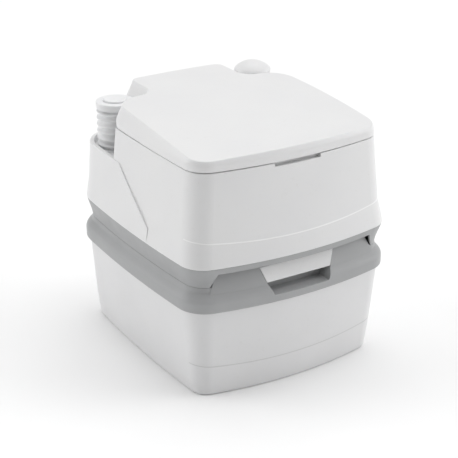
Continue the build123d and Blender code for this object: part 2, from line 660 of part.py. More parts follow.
def bowl_ellipse(half_width, half_length, z, y=BOWL_Y):
    return Pos(0, y, z) * Ellipse(half_width, half_length)


def bowl_form(inset, z_top, z_end):
    """The funnel from the seat opening to the outlet."""
    shoulder_z = z_top - BOWL_SHOULDER_DROP
    outlet_z = LIP_Z + 6.0
    sections = [
        bowl_ellipse(BOWL_HALF_WIDTH - inset, BOWL_HALF_LENGTH - inset, z_top),
        bowl_ellipse(BOWL_HALF_WIDTH * BOWL_SHOULDER_SHARE - inset,
                     BOWL_HALF_LENGTH * BOWL_SHOULDER_SHARE - inset, shoulder_z, BOWL_Y + 3),
        bowl_ellipse(OUTLET_RADIUS + WALL - inset, OUTLET_RADIUS + WALL - inset, outlet_z, VALVE_Y),
    ]
    funnel = loft(sections, ruled=False)
    return funnel + upright(OUTLET_RADIUS + WALL - inset, 0, VALVE_Y, z_end, outlet_z)


def top_recess():
    """The sunk part of the top that takes the flange of the bowl."""
    rim = stack([(shrink(TOP, TOP_RIM_WIDTH), TOP_PLATE_Z), (shrink(TOP, TOP_RIM_WIDTH), TANK_TOP_Z + 1)])
    rim &= box_between(-BIG, BIG, -BIG, BLOCK_REAR_Y - TOP_RIM_WIDTH, 0, BIG)
    flange = Ellipse(BOWL_HALF_WIDTH + BOWL_FLANGE + GAP, BOWL_HALF_LENGTH + BOWL_FLANGE + GAP)
    return rim + Pos(0, BOWL_Y, TOP_PLATE_Z) * extrude(flange, amount=TANK_TOP_Z + 1 - TOP_PLATE_Z)


def finger_catch(grow):
    """The notch under the front edge of the lid."""
    front_y = -(HALF_DEPTH - TOP_END_INSET)
    return box_between(-FINGER_CATCH_HALF - grow, FINGER_CATCH_HALF + grow, -HALF_DEPTH,
                       front_y + FINGER_CATCH_DEPTH + grow, TANK_TOP_Z - FINGER_CATCH_HEIGHT - grow,
                       TANK_TOP_Z + 1 - grow)


def flush_tank():
    outer = bowl_block(0, LIP_Z, TANK_TOP_Z) + rear_part(0, LIP_Z, SHELF_RIM_Z)
    low = LIP_Z + WALL
    inner = bowl_block(WALL, low, TOP_PLATE_Z - WALL) + rear_part(WALL, low, SHELF_FLOOR_Z - WALL)
    column = box_between(-COLUMN_HALF_WIDTH + WALL, COLUMN_HALF_WIDTH - WALL, 0, COLUMN_REAR_Y - WALL, 0, BIG)
    inner -= box_between(-BIG, BIG, BLOCK_REAR_Y - WALL, BIG, SHELF_FLOOR_Z - WALL, BIG) - column
    tank = outer - inner
    tank += finger_catch(WALL) & bowl_block(1.0, LIP_Z, TANK_TOP_Z - 1.0)
    tank -= finger_catch(0)
    tank -= shelf_recess(SHELF_FLOOR_Z)
    tank -= top_recess()
    tank -= bowl_form(-1.0, TOP_PLATE_Z + 1, LIP_Z - 1)
    tank -= upright(NOZZLE_RADIUS, 0, NOZZLE_Y, TOP_PLATE_Z - 2 * WALL, TANK_TOP_Z + 1)
    tank -= upright(FILL_NECK_RADIUS - WALL, FILLER_X, FILLER_Y, SHELF_FLOOR_Z - 2 * WALL, SHELF_FLOOR_Z + 1)
    tank -= upright(PUMP_PLUG_RADIUS, PUMP_X, PUMP_Y, SHELF_FLOOR_Z - 2 * WALL, SHELF_FLOOR_Z + 1)
    for x in (-BRACKET_X, BRACKET_X):
        tank -= upright(SCREW_RADIUS, x, BRACKET_SCREW_Y, TOP_PLATE_Z - 2 * WALL, TANK_TOP_Z + 1)
    for x, y in skirt_screw_places():
        tank -= upright(SCREW_RADIUS, x, y, LIP_Z - 1, LIP_Z + 2 * WALL)
    return tank


def skirt_levels(inset):
    """The hollow from the parting line out to the lip."""
    knee = shrink(mix((WAIST, 0), (LIP, 0), SKIRT_HOLLOW_SHARE)[0], inset)
    return [(shrink(WAIST, inset), WAIST_Z), (knee, WAIST_Z + SKIRT_HOLLOW_RISE),
            (shrink(LIP, inset + 0.6), LIP_Z - EDGE_RADIUS), (shrink(LIP, inset + 0.6), LIP_Z)]


def skirt():
    """The grey foot of the flush tank, with openings for the front block and the pour spout."""
    outer = stack(soften(skirt_levels(0), 2 * EDGE_RADIUS))
    low, *middle, high = skirt_levels(WALL)
    inner = stack([(low[0], low[1] - 1), *middle, (high[0], high[1] + 1)])
    ring = outer - inner
    slope = (BLOCK_BOTTOM_HALF - BLOCK_TOP_HALF) / (BLOCK_TOP_Z - WAIST_Z)
    foot_half = BLOCK_BOTTOM_HALF + SKIRT_CUT_GAP + slope
    ring -= trapezoid(BLOCK_TOP_HALF + SKIRT_CUT_GAP, foot_half, BLOCK_TOP_Z + SKIRT_CUT_GAP, WAIST_Z - 2,
                      -HALF_DEPTH - 1, -(HALF_DEPTH - BLOCK_DEPTH) + SKIRT_CUT_GAP)
    ring -= box_between(POCKET_LEFT, POCKET_RIGHT, SPOUT_Y - SPOUT_CAP_RADIUS - POCKET_CLEAR, BIG,
                        WAIST_Z - 2, POCKET_TOP_Z)
    for x, y in skirt_screw_places():
        side = 1 if x > 0 else -1
        ring += box_between(*sorted((x - side * SKIRT_TAB, side * HALF_WIDTH)), y - SKIRT_TAB, y + SKIRT_TAB,
                            LIP_Z - SKIRT_TAB_THICKNESS, LIP_Z) & outer
        ring -= upright(SCREW_RADIUS, x, y, LIP_Z - 2 * SKIRT_TAB_THICKNESS, LIP_Z + 1)
    for side in (-1, 1):
        x = LATCH_X + side * (LATCH_WIDTH / 2 + LATCH_LUG_WIDTH / 2 + GAP)
        half = LATCH_LUG_WIDTH / 2
        lug = box_between(x - half, x + half, LATCH_PIN_Y - LATCH_LUG_DEPTH, LATCH_PIN_Y,
                          LATCH_PIN_Z - LATCH_KNUCKLE_RADIUS, LATCH_PIN_Z + LATCH_KNUCKLE_RADIUS)
        lug += crossbar(LATCH_KNUCKLE_RADIUS, LATCH_PIN_Y, LATCH_PIN_Z, x - half, x + half)
        ring += lug - inner
        ring -= crossbar(LATCH_PIN_RADIUS, LATCH_PIN_Y, LATCH_PIN_Z, x - half - 1, x + half + 1)
    return ring


def skirt_screw_places():
    x = HALF_WIDTH - SKIRT_SCREW_INSET
    return [(side * x, y) for side in (-1, 1) for y in (-SKIRT_SCREW_Y, SKIRT_SCREW_Y)]


def skirt_screws():
    return group([screw(x, y, LIP_Z - SKIRT_TAB_THICKNESS, 10.0, point_down=False) for x, y in skirt_screw_places()])


def tank_latch():
    """The lever that hangs from the skirt and snaps under the ledge of the deck."""
    half = LATCH_WIDTH / 2
    inner_y = LATCH_PIN_Y - LATCH_THICKNESS / 2
    lever = crossbar(LATCH_KNUCKLE_RADIUS, LATCH_PIN_Y, LATCH_PIN_Z, LATCH_X - half, LATCH_X + half)
    lever += box_between(LATCH_X - half, LATCH_X + half, inner_y, inner_y + LATCH_THICKNESS,
                         LATCH_BOTTOM_Z, LATCH_PIN_Z)
    lever += box_between(LATCH_X - half, LATCH_X + half, inner_y - LATCH_NOSE, inner_y,
                         LATCH_LEDGE_Z - 3.5, LATCH_LEDGE_Z - 0.8)
    return lever - crossbar(LATCH_PIN_RADIUS + SHAFT_GAP, LATCH_PIN_Y, LATCH_PIN_Z,
                            LATCH_X - half - 1, LATCH_X + half + 1)


def latch_pin():
    half = LATCH_WIDTH / 2 + LATCH_LUG_WIDTH + GAP
    return crossbar(LATCH_PIN_RADIUS, LATCH_PIN_Y, LATCH_PIN_Z, LATCH_X - half, LATCH_X + half)


def latch_ledge():
    """The catch on the deck; the lever's nose stops just short of it."""
    half = LATCH_WIDTH / 2 - 3
    nose_y = LATCH_PIN_Y - LATCH_THICKNESS / 2 - LATCH_NOSE
    return box_between(LATCH_X - half, LATCH_X + half, nose_y - 9, nose_y - GAP, LATCH_LEDGE_Z, LATCH_LEDGE_Z + 4.5)


def bowl():
    body = bowl_form(0, TOP_PLATE_Z, DECK_TOP_Z + OUTLET_END_GAP)
    flange = Pos(0, BOWL_Y, TOP_PLATE_Z) * Ellipse(BOWL_HALF_WIDTH + BOWL_FLANGE, BOWL_HALF_LENGTH + BOWL_FLANGE)
    body += extrude(flange, amount=BOWL_FLANGE_THICKNESS)
    body -= bowl_form(WALL, TOP_PLATE_Z + BOWL_FLANGE_THICKNESS + 1, DECK_TOP_Z)
    return body


def outlet_seal():
    low = DECK_TOP_Z + 2.0
    ring = tube(OUTLET_RADIUS + WALL + SEAL_THICKNESS, OUTLET_RADIUS + WALL, 0, VALVE_Y, low, low + 16)
    return ring + tube(OUTLET_RADIUS + WALL + SEAL_THICKNESS, OUTLET_RADIUS - 3, 0, VALVE_Y,
                       low, low + SEAL_THICKNESS)


# ---------------------------------------------------------------- hinge
def bracket(x):
    """The arm that reaches back from the column to hold the hinge pin."""
    half = BRACKET_WIDTH / 2
    foot_front = COLUMN_REAR_Y - 34
    arm = box_between(x - half, x + half, COLUMN_REAR_Y - 14, HINGE_Y, HINGE_Z - HINGE_KNUCKLE_RADIUS + 2,
                      HINGE_Z + HINGE_KNUCKLE_RADIUS)
    arm += crossbar(HINGE_KNUCKLE_RADIUS, HINGE_Y, HINGE_Z, x - half, x + half)
    arm += box_between(x - half, x + half, COLUMN_REAR_Y - 14, COLUMN_REAR_Y - 4, TANK_TOP_Z,
                       HINGE_Z)
    arm += box_between(x - half, x + half, foot_front, COLUMN_REAR_Y - 4, TANK_TOP_Z, TANK_TOP_Z + WALL)
    arm -= crossbar(HINGE_PIN_RADIUS, HINGE_Y, HINGE_Z, x - half - 1, x + half + 1)
    arm -= upright(SCREW_RADIUS, x, BRACKET_SCREW_Y, 0, BIG)
    return arm


def hinge_pin():
    half = LID_LUG_X + LID_LUG_WIDTH / 2 + 3
    return crossbar(HINGE_PIN_RADIUS, HINGE_Y, HINGE_Z, -half, half)


def bracket_screws():
    return group([screw(x, BRACKET_SCREW_Y, TANK_TOP_Z + WALL, WALL + 5) for x in (-BRACKET_X, BRACKET_X)])


# ---------------------------------------------------------------- lid
def lid_face(inset, z):
    """The lid seen from above: a wide front part and a narrower neck over the hinge."""
    outline = shrink(TOP, inset)
    corner_x = outline.half_width - outline.side_bow
    front_y = -(outline.front - outline.front_bow)
    rear_y = LID_REAR_Y - inset
    neck_half = NECK_HALF_WIDTH - inset
    neck_y = NECK_REAR_Y - inset
    middle_y = (front_y + rear_y) / 2
    sides = [
        ThreePointArc((-corner_x, front_y), (0, -outline.front), (corner_x, front_y)),
        ThreePointArc((corner_x, front_y), (outline.half_width, middle_y), (corner_x, rear_y)),
        Polyline((corner_x, rear_y), (neck_half, rear_y), (neck_half, neck_y), (-neck_half, neck_y),
                 (-neck_half, rear_y), (-corner_x, rear_y)),
        ThreePointArc((-corner_x, rear_y), (-outline.half_width, middle_y), (-corner_x, front_y)),
    ]
    face = make_face(Curve() + sides)

    def corners(test):
        return [v for v in face.vertices() if test(v)]

    face = fillet(corners(lambda v: v.Y < middle_y), outline.front_radius)
    face = fillet(corners(lambda v: v.Y > rear_y - 1 and abs(v.X) > corner_x - 1), LID_REAR_RADIUS - inset)
    face = fillet(corners(lambda v: abs(v.Y - rear_y) < 0.1 and abs(abs(v.X) - neck_half) < 0.1),
                  NECK_FILLET + inset)
    face = fillet(corners(lambda v: v.Y > neck_y - 0.1), NECK_CORNER_RADIUS - inset)
    return Pos(0, 0, z) * face


def lid_solid(inset, z_bottom):
    """The closed shape of the lid, smaller by inset; its top is part of a very large sphere."""
    slope = LID_BEVEL_INSET / LID_BEVEL_HEIGHT
    edge = extrude(lid_face(inset, z_bottom), amount=LID_BEVEL_Z - LID_EDGE_RADIUS - z_bottom)
    levels = [(inset + slope * LID_EDGE_RADIUS * (step / LID_EDGE_STEPS) ** 2,
               LID_BEVEL_Z + LID_EDGE_RADIUS * (2 * step / LID_EDGE_STEPS - 1)) for step in range(LID_EDGE_STEPS + 1)]
    levels.append((inset + LID_BEVEL_INSET, LID_BEVEL_Z + LID_BEVEL_HEIGHT))
    bevel = loft([lid_face(level_inset, z) for level_inset, z in levels], ruled=True)
    dome = Pos(0, LID_DOME_Y, LID_TOP_Z - inset - LID_DOME_RADIUS) * Sphere(LID_DOME_RADIUS)
    return (edge + bevel) & dome


def lid():
    shell = lid_solid(0, LID_BOTTOM_Z)
    shell = fillet(shell.faces().sort_by(Axis.Z)[-1].edges(), 2.0)
    shell -= lid_solid(LID_WALL, LID_BOTTOM_Z - 1)
    for side in (-1, 1):
        x = side * LID_LUG_X
        half = LID_LUG_WIDTH / 2
        lug = box_between(x - half, x + half, HINGE_Y - HINGE_KNUCKLE_RADIUS, HINGE_Y + HINGE_KNUCKLE_RADIUS,
                          HINGE_Z, LID_TOP_Z)
        lug += crossbar(HINGE_KNUCKLE_RADIUS, HINGE_Y, HINGE_Z, x - half, x + half)
        shell += lug & lid_solid(1.0, LID_BOTTOM_Z - 5)
        shell -= crossbar(HINGE_PIN_RADIUS + SHAFT_GAP, HINGE_Y, HINGE_Z, x - half - 1, x + half + 1)
    rear_edge_half = BRACKET_X + BRACKET_WIDTH / 2 + 1.5
    shell -= box_between(-rear_edge_half, rear_edge_half, HINGE_Y + HINGE_KNUCKLE_RADIUS, BIG, 0, HINGE_Z - 2)
    for x in (-BRACKET_X, BRACKET_X):
        half = BRACKET_WIDTH / 2 + 1.5
        shell -= box_between(x - half, x + half, HINGE_Y - HINGE_KNUCKLE_RADIUS / 2, BIG, 0, LID_TOP_Z - 5)
    return shell


def seat_plate(margin, z0, z1):
    face = lid_face(LID_WALL + SEAT_MARGIN + margin, z0)
    plate = extrude(face, amount=z1 - z0)
    plate -= box_between(-BIG, BIG, LID_REAR_Y - 22, BIG, z0 - 1, z1 + 1)
    return plate


def seat():
    plate = seat_plate(0, SEAT_BOTTOM_Z, SEAT_TOP_Z)
    hole = Pos(0, BOWL_Y, SEAT_BOTTOM_Z - 1) * Ellipse(SEAT_HOLE_HALF_WIDTH, SEAT_HOLE_HALF_LENGTH)
    plate -= extrude(hole, amount=SEAT_THICKNESS + 2)
    plate = fillet(plate.faces().sort_by(Axis.Z)[-1].edges(), 3.5)
    tongue_front = LID_REAR_Y - 30
    for side in (-1, 1):
        x = side * SEAT_LUG_X
        half = SEAT_LUG_WIDTH / 2
        arm = box_between(x - half, x + half, tongue_front, HINGE_Y, SEAT_TOP_Z - 7, SEAT_TOP_Z - 1)
        arm += crossbar(HINGE_KNUCKLE_RADIUS, HINGE_Y, HINGE_Z, x - half, x + half)
        plate += arm
        plate -= crossbar(HINGE_PIN_RADIUS + SHAFT_GAP, HINGE_Y, HINGE_Z, x - half - 1, x + half + 1)
    return plate


def bumpers(spread, front_y, rear_y, z0, z1):
    """Four round rubber pads in one node."""
    return group([upright(BUMPER_RADIUS, x, y, z0, z1) for x in (-spread, spread) for y in (front_y, rear_y)])


def seat_bumpers():
    return bumpers(SEAT_BUMPER_X, SEAT_BUMPER_FRONT_Y, SEAT_BUMPER_REAR_Y, TOP_PLATE_Z + GAP, SEAT_BOTTOM_Z)


def lid_bumpers():
    """Pads under the lid that stop just above the seat."""
    pads = bumpers(SEAT_BUMPER_X, SEAT_BUMPER_FRONT_Y, SEAT_BUMPER_REAR_Y, SEAT_TOP_Z + GAP, LID_TOP_Z)
    inside = lid_solid(LID_WALL, LID_BOTTOM_Z)
    return group([pad & inside for pad in pads.solids()])


# ---------------------------------------------------------------- bellows pump
def pump_base():
    body = upright(PUMP_RADIUS, PUMP_X, PUMP_Y, SHELF_FLOOR_Z, SHELF_FLOOR_Z + PUMP_BASE_HEIGHT)
    body = fillet(body.edges().sort_by(Axis.Z)[-1], PUMP_BASE_HEIGHT / 3)
    body += upright(PUMP_PLUG_RADIUS, PUMP_X, PUMP_Y, SHELF_FLOOR_Z - 12, SHELF_FLOOR_Z)
    return body - upright(INLET_TUBE_RADIUS, PUMP_X, PUMP_Y, SHELF_FLOOR_Z - 13, SHELF_FLOOR_Z + 20)


def pump_bellows():
    """Revolved zigzag wall."""
    pitch = (BELLOWS_TOP_Z - BELLOWS_BOTTOM_Z) / BELLOWS_RIBS
    outside = [(BELLOWS_WAIST, BELLOWS_BOTTOM_Z)]
    for i in range(BELLOWS_RIBS):
        low = BELLOWS_BOTTOM_Z + i * pitch
        outside += [(PUMP_RADIUS - 0.5, low + pitch * (0.5 - BELLOWS_CREST)),
                    (PUMP_RADIUS - 0.5, low + pitch * (0.5 + BELLOWS_CREST)),
                    (BELLOWS_WAIST, low + pitch)]
    inside = [(r - BELLOWS_WALL, z) for r, z in reversed(outside)]
    wall = Plane.XZ * make_face(Polyline(*outside, *inside, close=True))
    return Pos(PUMP_X, PUMP_Y, 0) * revolve(wall, Axis.Z)


def pump_collar():
    """The smooth ring on top of the bellows that carries the button."""
    profile = Plane.XZ * make_face(
        Polyline((PUMP_BUTTON_RADIUS + GAP / 4, PUMP_COLLAR_TOP_Z - 2.0), (PUMP_BUTTON_RADIUS + 2, PUMP_COLLAR_TOP_Z),
                 (PUMP_RADIUS - 2.5, PUMP_COLLAR_TOP_Z), (PUMP_RADIUS - 0.7, PUMP_COLLAR_TOP_Z - 0.8),
                 (PUMP_RADIUS, PUMP_COLLAR_TOP_Z - 2.5), (PUMP_RADIUS, BELLOWS_TOP_Z),
                 (PUMP_BUTTON_RADIUS + GAP / 4, BELLOWS_TOP_Z), close=True))
    return Pos(PUMP_X, PUMP_Y, 0) * revolve(profile, Axis.Z)


def pump_button():
    top = upright(PUMP_BUTTON_RADIUS, PUMP_X, PUMP_Y, BELLOWS_TOP_Z, PUMP_BUTTON_TOP_Z)
    top = fillet(top.edges().sort_by(Axis.Z)[-1], 2.5)
    return top


def pump_inlet_tube():
    return tube(INLET_TUBE_RADIUS, INLET_TUBE_RADIUS - 1.5, PUMP_X, PUMP_Y, LIP_Z + WALL + 8, SHELF_FLOOR_Z)


def pump_strainer():
    low = LIP_Z + WALL + 1.0
    body = upright(9.0, PUMP_X, PUMP_Y, low, low + 16) - upright(INLET_TUBE_RADIUS, PUMP_X, PUMP_Y, low + 2, low + 17)
    for i in range(6):
        body -= Pos(PUMP_X, PUMP_Y, low + 6) * Rot(0, 0, 30 * i) * Box(30, 1.6, 6)
    return body


# ---------------------------------------------------------------- flush pipe and nozzle
def flush_pipe():
    z = SHELF_FLOOR_Z - 8
    start = (PUMP_X + PUMP_PLUG_RADIUS, PUMP_Y, z)
    route = FilletPolyline(start, (-20, PUMP_Y, z), (0, NOZZLE_Y, z), (0, NOZZLE_Y, TOP_PLATE_Z - NOZZLE_DROP),
                           radius=12)
    section = Plane(route @ 0, z_dir=route % 0) * Circle(PIPE_RADIUS)
    return sweep(section, path=route, transition=Transition.ROUND)


def flush_nozzle():
    """The outlet above the rear edge of the bowl, fed from below."""
    body = upright(NOZZLE_RADIUS, 0, NOZZLE_Y, TOP_PLATE_Z - NOZZLE_DROP, TANK_TOP_Z)
    body += box_between(-NOZZLE_HALF_WIDTH, NOZZLE_HALF_WIDTH, NOZZLE_Y - NOZZLE_RADIUS - BOWL_FLANGE - 14,
                        NOZZLE_Y + NOZZLE_RADIUS, TANK_TOP_Z, TANK_TOP_Z + NOZZLE_HEIGHT)
    return body


# ---------------------------------------------------------------- filler
def fill_neck():
    neck = tube(FILL_NECK_RADIUS, FILL_NECK_RADIUS - WALL, FILLER_X, FILLER_Y, SHELF_FLOOR_Z, FILL_NECK_TOP_Z)
    foot = tube(FILL_NECK_RADIUS + 5, FILL_NECK_RADIUS - WALL, FILLER_X, FILLER_Y, SHELF_FLOOR_Z, SHELF_FLOOR_Z + 3)
    return neck + foot


def fill_cap_seal():
    return tube(FILL_NECK_RADIUS, FILL_NECK_RADIUS - WALL, FILLER_X, FILLER_Y,
                FILL_NECK_TOP_Z + GAP, FILL_NECK_TOP_Z + GAP + SEAL_THICKNESS)


def fill_cap():
    seal_top = FILL_NECK_TOP_Z + GAP + SEAL_THICKNESS + GAP
    cap = upright(FILL_CAP_RADIUS, FILLER_X, FILLER_Y, FILL_CAP_TOP_Z - FILL_CAP_HEIGHT, FILL_CAP_TOP_Z)
    dome_radius = (FILL_CAP_RADIUS ** 2 + FILL_CAP_DOME_HEIGHT ** 2) / (2 * FILL_CAP_DOME_HEIGHT)
    cap &= Pos(FILLER_X, FILLER_Y, FILL_CAP_TOP_Z - dome_radius) * Sphere(dome_radius)
    rim_z = FILL_CAP_TOP_Z - FILL_CAP_DOME_HEIGHT
    cap = fillet([edge for edge in cap.edges() if edge.is_closed and abs(edge.center().Z - rim_z) < 1], 1.5)
    cap -= upright(FILL_NECK_RADIUS + GAP + 0.8, FILLER_X, FILLER_Y, FILL_CAP_TOP_Z - FILL_CAP_HEIGHT - 1, seal_top)
    reach = FILL_CAP_RADIUS + FLUTE_RADIUS - FLUTE_DEPTH
    for i in range(FILL_CAP_FLUTES):
        turn = 2 * pi * i / FILL_CAP_FLUTES
        cap -= upright(FLUTE_RADIUS, FILLER_X + reach * cos(turn), FILLER_Y + reach * sin(turn),
                       FILL_CAP_TOP_Z - FILL_CAP_HEIGHT - 1, rim_z - 1)
    return cap


# ================================================================ assembly
def build():
    places = housing_screw_places()
    nodes = {
        "waste_tub": waste_tub(),
        "waste_deck": drill_screws(waste_deck(), places),
        "valve_housing": drill_screws(valve_housing(), places),
        "valve_housing_screws": valve_housing_screws(),
        "valve_seal": valve_seal(),
        "valve_blade": valve_blade(),
        "valve_rod": valve_rod(),
        "valve_handle": valve_handle(),
        "spout_socket": spout_socket(),
        "spout_washer": spout_washer(),
        "pour_spout": pour_spout(),
        "spout_cap_seal": spout_cap_seal(),
        "spout_cap": spout_cap(),
        "vent_guide": vent_guide(),
        "vent_spring": vent_spring(),
        "vent_button": vent_button(),
        "flush_tank": flush_tank(),
        "tank_skirt": skirt(),
        "skirt_screws": skirt_screws(),
        "tank_latch": tank_latch(),
        "latch_pin": latch_pin(),
        "bowl": bowl(),
        "outlet_seal": outlet_seal(),
        "hinge_bracket_left": bracket(-BRACKET_X),
        "hinge_bracket_right": bracket(BRACKET_X),
        "bracket_screws": bracket_screws(),
        "hinge_pin": hinge_pin(),
        "lid": lid(),
        "lid_bumpers": lid_bumpers(),
        "seat": seat(),
        "seat_bumpers": seat_bumpers(),
        "pump_base": pump_base(),
        "pump_bellows": pump_bellows(),
        "pump_collar": pump_collar(),
        "pump_button": pump_button(),
        "pump_inlet_tube": pump_inlet_tube(),
        "pump_strainer": pump_strainer(),
        "flush_pipe": flush_pipe(),
        "flush_nozzle": flush_nozzle(),
        "fill_neck": fill_neck(),
        "fill_cap_seal": fill_cap_seal(),
        "fill_cap": fill_cap(),
    }
    return nodes


os.makedirs("parts", exist_ok=True)
for name, shape in build().items():
    export_step(shape, f"parts/{name}.step")
    print(name, round(shape.volume))
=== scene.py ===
import json
from math import cos, pi, radians, sin, tau

import bmesh
import bpy
from mathutils import Matrix, Vector


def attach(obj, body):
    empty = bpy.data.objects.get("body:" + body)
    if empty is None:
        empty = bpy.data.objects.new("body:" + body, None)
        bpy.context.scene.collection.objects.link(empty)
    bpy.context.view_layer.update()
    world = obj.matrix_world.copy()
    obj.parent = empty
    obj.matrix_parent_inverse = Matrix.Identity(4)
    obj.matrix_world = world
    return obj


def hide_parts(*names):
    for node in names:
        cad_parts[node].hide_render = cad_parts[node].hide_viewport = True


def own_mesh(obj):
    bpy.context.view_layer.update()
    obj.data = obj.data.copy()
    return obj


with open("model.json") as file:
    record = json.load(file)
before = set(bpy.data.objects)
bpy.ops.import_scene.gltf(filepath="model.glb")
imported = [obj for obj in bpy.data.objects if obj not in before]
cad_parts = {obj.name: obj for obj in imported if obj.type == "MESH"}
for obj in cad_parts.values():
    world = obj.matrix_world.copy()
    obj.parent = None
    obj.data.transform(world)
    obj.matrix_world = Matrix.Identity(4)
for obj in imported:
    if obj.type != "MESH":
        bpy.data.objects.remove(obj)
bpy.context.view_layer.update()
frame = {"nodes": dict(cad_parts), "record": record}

MM = 0.001
NODES = frame["nodes"]


# ---------------------------------------------------------------- small helpers for node trees
class Tree:
    """Adds nodes to a node tree and links them by socket name or number."""

    def __init__(self, node_tree):
        self.tree = node_tree

    def add(self, kind, values=None, **settings):
        node = self.tree.nodes.new(kind)
        for name, value in settings.items():
            setattr(node, name, value)
        for socket, value in (values or {}).items():
            self.feed(node, socket, value)
        return node

    def feed(self, node, socket, value):
        """Links an output to a socket, or sets the socket's own value."""
        target = node.inputs[socket]
        if isinstance(value, bpy.types.NodeSocket):
            self.tree.links.new(value, target)
        elif isinstance(value, bpy.types.Node):
            self.tree.links.new(value.outputs[0], target)
        else:
            target.default_value = value

    def math(self, operation, *values):
        return self.add("ShaderNodeMath", dict(enumerate(values)), operation=operation)


def new_material(name):
    """An empty material with its shader, and the tree to build on."""
    material = bpy.data.materials.new(name)
    material.use_nodes = True
    material.node_tree.nodes.clear()
    tree = Tree(material.node_tree)
    output = tree.add("ShaderNodeOutputMaterial")
    shader = tree.add("ShaderNodeBsdfPrincipled")
    tree.feed(output, "Surface", shader)
    return material, tree, shader


def noise(tree, place, scale, detail=2.0, rough=0.5):
    """A noise over place, with scale in patches per metre."""
    return tree.add("ShaderNodeTexNoise", {"Vector": place, "Scale": scale, "Detail": detail,
                                           "Roughness": rough})


def ramp(tree, factor, low, high, low_colour, high_colour):
    """A two-stop colour ramp."""
    node = tree.add("ShaderNodeValToRGB", {"Fac": factor})
    first, last = node.color_ramp.elements
    first.position, first.color = low, (*low_colour, 1.0)
    last.position, last.color = high, (*high_colour, 1.0)
    return node


USUAL_NOISE = (0.35, 0.65)      # where most values of a noise lie


def spread(tree, factor, low, high):
    """Moves a noise value from where it usually lies onto low to high."""
    usual_low, usual_high = USUAL_NOISE
    return tree.add("ShaderNodeMapRange", {"Value": factor, "From Min": usual_low, "From Max": usual_high,
                                           "To Min": low, "To Max": high})


# ---------------------------------------------------------------- materials
CREASE_HALF_SPAN = 170.0 * MM   # from the middle to where the line has risen by its full corner rise
CREASE_HALF_WIDTH = 0.8 * MM
CREASE_FRONT_Y = -155.0 * MM    # the line is drawn only in front of this

# noise scales in patches per metre
FLOW_SCALE = 9.0
WEAR_SCALE = 34.0
DUST_SCALE = 140.0
PEEL_SCALE = 260.0
BLOOM_SCALE = 60.0
PORE_SCALE = 1400.0
HAZE_SCALE = 80.0


def moulded_crease(tree, place, middle_height, corner_rise):
    """1 on a fine line that bows up across the front of a tank, 0 away from it."""
    across = tree.add("ShaderNodeSeparateXYZ", {"Vector": place})
    from_middle = tree.math("ABSOLUTE", tree.math("DIVIDE", across.outputs["X"], CREASE_HALF_SPAN))
    bow = tree.math("POWER", from_middle, 2.0)
    line_height = tree.math("MULTIPLY_ADD", bow, corner_rise, middle_height)
    off = tree.math("DIVIDE", tree.math("SUBTRACT", across.outputs["Z"], line_height), CREASE_HALF_WIDTH)
    ridge = tree.math("EXPONENT", tree.math("MULTIPLY", tree.math("MULTIPLY", off, off), -1.0))
    front = tree.math("LESS_THAN", across.outputs["Y"], CREASE_FRONT_Y)
    return tree.math("MULTIPLY", ridge, front)


def moulded_plastic(name, colour, shade, roughness, grain_scale, grain_depth, edge_radius=0.7 * MM,
                    specular=0.5, coat=0.0, subsurface=0.0, crease_and_painted_line=None):
    """Moulded plastic: a faint flow of tone, a fine grain, small scuffs and rounded edges.

    The crease, where there is one, is the height of its middle, the rise at the corners and the tone of the
    line painted along it. The crease itself is a real bump; its line in the colour is painted light, lighter
    for a painted highlight and darker for painted shade.
    """
    material, tree, shader = new_material(name)
    place = tree.add("ShaderNodeTexCoord").outputs["Object"]
    flow = noise(tree, place, FLOW_SCALE, 3.0)
    tone = ramp(tree, flow, 0.35, 0.68, shade, colour)
    dust = noise(tree, place, DUST_SCALE, 5.0, 0.65)
    speck = ramp(tree, dust, 0.60, 0.78, (1.0, 1.0, 1.0), (0.955, 0.95, 0.94))
    mixed = tree.add("ShaderNodeMix", data_type="RGBA", blend_type="MULTIPLY")
    mixed.inputs[0].default_value = 1.0
    tree.feed(mixed, 6, tone.outputs["Color"])
    tree.feed(mixed, 7, speck.outputs["Color"])
    shown = mixed.outputs[2]
    if crease_and_painted_line:
        middle_height, corner_rise, painted_line_tone = crease_and_painted_line
        line = moulded_crease(tree, place, middle_height, corner_rise)
        # painted light: the crease line is mixed into the base colour, a painted highlight when its tone is
        # light and painted shade when its tone is dark
        painted_crease_line = tree.add("ShaderNodeMix", {0: line}, data_type="RGBA")
        tree.feed(painted_crease_line, 6, shown)
        painted_crease_line.inputs[7].default_value = (painted_line_tone, painted_line_tone, painted_line_tone, 1.0)
        shown = painted_crease_line.outputs[2]
    tree.feed(shader, "Base Color", shown)
    wear = noise(tree, place, WEAR_SCALE, 6.0, 0.6)
    tree.feed(shader, "Roughness", spread(tree, wear, roughness - 0.05, roughness + 0.06))
    rounded = tree.add("ShaderNodeBevel", {"Radius": edge_radius}, samples=6)
    peel = noise(tree, place, PEEL_SCALE)
    grain = noise(tree, place, grain_scale)
    soft = tree.add("ShaderNodeBump", {"Strength": 0.10, "Distance": 0.0004, "Height": peel,
                                       "Normal": rounded})
    fine = tree.add("ShaderNodeBump", {"Strength": grain_depth, "Distance": 0.00012, "Height": grain,
                                       "Normal": soft})
    if crease_and_painted_line:
        fine = tree.add("ShaderNodeBump", {"Strength": 0.5, "Distance": 0.0004, "Height": line,
                                           "Normal": fine})
    tree.feed(shader, "Normal", fine)
    shader.inputs["Specular IOR Level"].default_value = specular
    shader.inputs["Coat Weight"].default_value = coat
    shader.inputs["Coat Roughness"].default_value = 0.25
    if subsurface:
        shader.inputs["Subsurface Weight"].default_value = subsurface
        shader.inputs["Subsurface Radius"].default_value = (1.0, 0.9, 0.8)
        shader.inputs["Subsurface Scale"].default_value = 1.5 * MM
    return material


